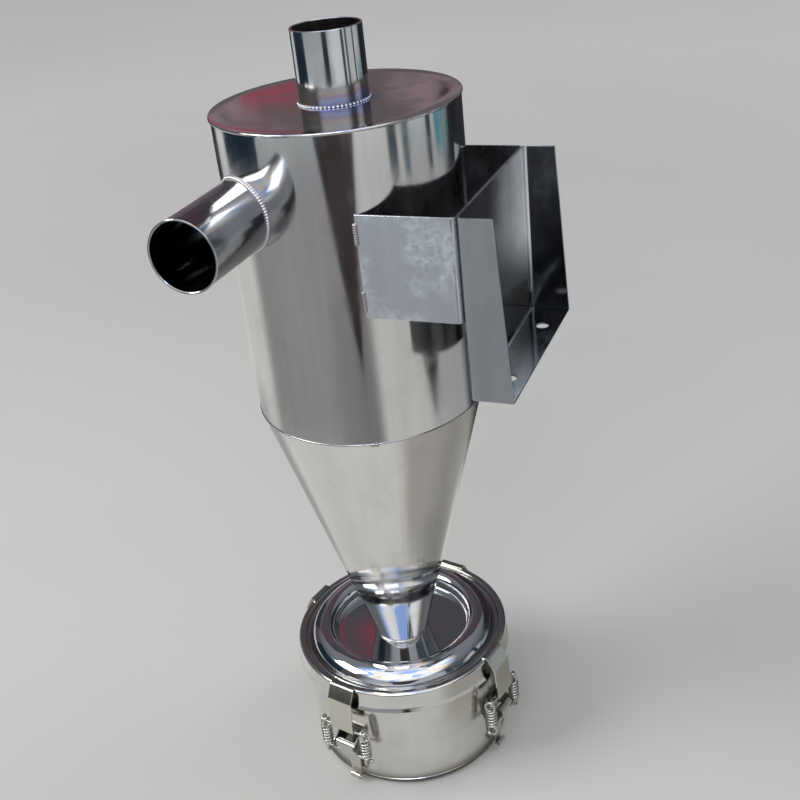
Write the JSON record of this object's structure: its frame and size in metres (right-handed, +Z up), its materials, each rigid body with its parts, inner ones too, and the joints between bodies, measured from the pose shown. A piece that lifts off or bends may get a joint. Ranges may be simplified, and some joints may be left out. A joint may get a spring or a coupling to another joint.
{
  "type": "cyclone dust separator",
  "caption": "Polished steel cyclone with tangential inlet pipe, central outlet pipe, wall bracket and a dust bucket held on by sprung clips.",
  "frame": {"origin": "centre of the bucket's flat foot ring, on the floor", "axes": "+Z up along the cyclone's axis, +X towards the wall bracket, -Y out of the inlet pipe's mouth"},
  "size_m": [0.2347, 0.2467, 0.596],
  "materials": {
    "polished_steel": "mirror polished stainless sheet",
    "pipe_steel": "polished stainless tube with faint draw lines",
    "pressed_steel": "bright pressed stainless lid",
    "bucket_steel": "polished stainless container",
    "bracket_steel": "mill-finish stainless sheet, smudged",
    "clip_steel": "bright stainless strip",
    "spring_wire": "drawn spring wire",
    "weld_bead": "bright weld bead",
    "tinted_weld": "weld bead with blue and straw heat tint",
    "seal_rubber": "translucent white silicone"
  },
  "bodies": {
    "separator": {"barrel": "polished_steel", "top_plate": "polished_steel", "top_weld": "weld_bead", "cone": "polished_steel", "cone_weld": "weld_bead", "outlet_tube": "pipe_steel", "outlet_weld": "tinted_weld", "inlet_tube": "pipe_steel", "inlet_weld": "tinted_weld", "foot_weld": "weld_bead", "bucket_lid": "pressed_steel", "lid_rim": "pressed_steel", "lid_seal": "seal_rubber", "bucket_wall": "bucket_steel", "bucket_bottom": "bucket_steel", "saddle_bracket": "bracket_steel", "saddle_welds": "weld_bead", "tray_bracket": "bracket_steel", "clip_base_1": "clip_steel", "clip_base_2": "clip_steel", "clip_base_3": "clip_steel", "clip_base_4": "clip_steel"},
    "lever_1": {"clip_lever_1": "clip_steel"},
    "hook_1": {"clip_springs_1": "spring_wire", "clip_hook_1": "clip_steel"},
    "lever_2": {"clip_lever_2": "clip_steel"},
    "hook_2": {"clip_springs_2": "spring_wire", "clip_hook_2": "clip_steel"},
    "lever_3": {"clip_lever_3": "clip_steel"},
    "hook_3": {"clip_springs_3": "spring_wire", "clip_hook_3": "clip_steel"},
    "lever_4": {"clip_lever_4": "clip_steel"},
    "hook_4": {"clip_springs_4": "spring_wire", "clip_hook_4": "clip_steel"}
  },
  "joints": [
    {"name": "lever_1_turn", "type": "hinge", "parent": "separator", "child": "lever_1", "pos_m": [0.0926, -0.01884, 0.049], "axis": [-0.1994, -0.9799, 0], "range_deg": [0, 120]},
    {"name": "hook_1_swing", "type": "hinge", "parent": "lever_1", "child": "hook_1", "pos_m": [0.09064, -0.01844, 0.0375], "axis": [-0.1994, -0.9799, 0], "range_deg": [-150, 0]},
    {"name": "lever_2_turn", "type": "hinge", "parent": "separator", "child": "lever_2", "pos_m": [0.01884, 0.0926, 0.049], "axis": [0.9799, -0.1994, 0], "range_deg": [0, 120]},
    {"name": "hook_2_swing", "type": "hinge", "parent": "lever_2", "child": "hook_2", "pos_m": [0.01844, 0.09064, 0.0375], "axis": [0.9799, -0.1994, 0], "range_deg": [-150, 0]},
    {"name": "lever_3_turn", "type": "hinge", "parent": "separator", "child": "lever_3", "pos_m": [-0.0926, 0.01884, 0.049], "axis": [0.1994, 0.9799, 0], "range_deg": [0, 120]},
    {"name": "hook_3_swing", "type": "hinge", "parent": "lever_3", "child": "hook_3", "pos_m": [-0.09064, 0.01844, 0.0375], "axis": [0.1994, 0.9799, 0], "range_deg": [-150, 0]},
    {"name": "lever_4_turn", "type": "hinge", "parent": "separator", "child": "lever_4", "pos_m": [-0.01884, -0.0926, 0.049], "axis": [-0.9799, 0.1994, 0], "range_deg": [0, 120]},
    {"name": "hook_4_swing", "type": "hinge", "parent": "lever_4", "child": "hook_4", "pos_m": [-0.01844, -0.09064, 0.0375], "axis": [-0.9799, 0.1994, 0], "range_deg": [-150, 0]}
  ],
  "couplings": [
    {"joint": "hook_1_swing", "follows": "lever_1_turn", "ratio": -1.25},
    {"joint": "hook_2_swing", "follows": "lever_2_turn", "ratio": -1.25},
    {"joint": "hook_3_swing", "follows": "lever_3_turn", "ratio": -1.25},
    {"joint": "hook_4_swing", "follows": "lever_4_turn", "ratio": -1.25}
  ]
}
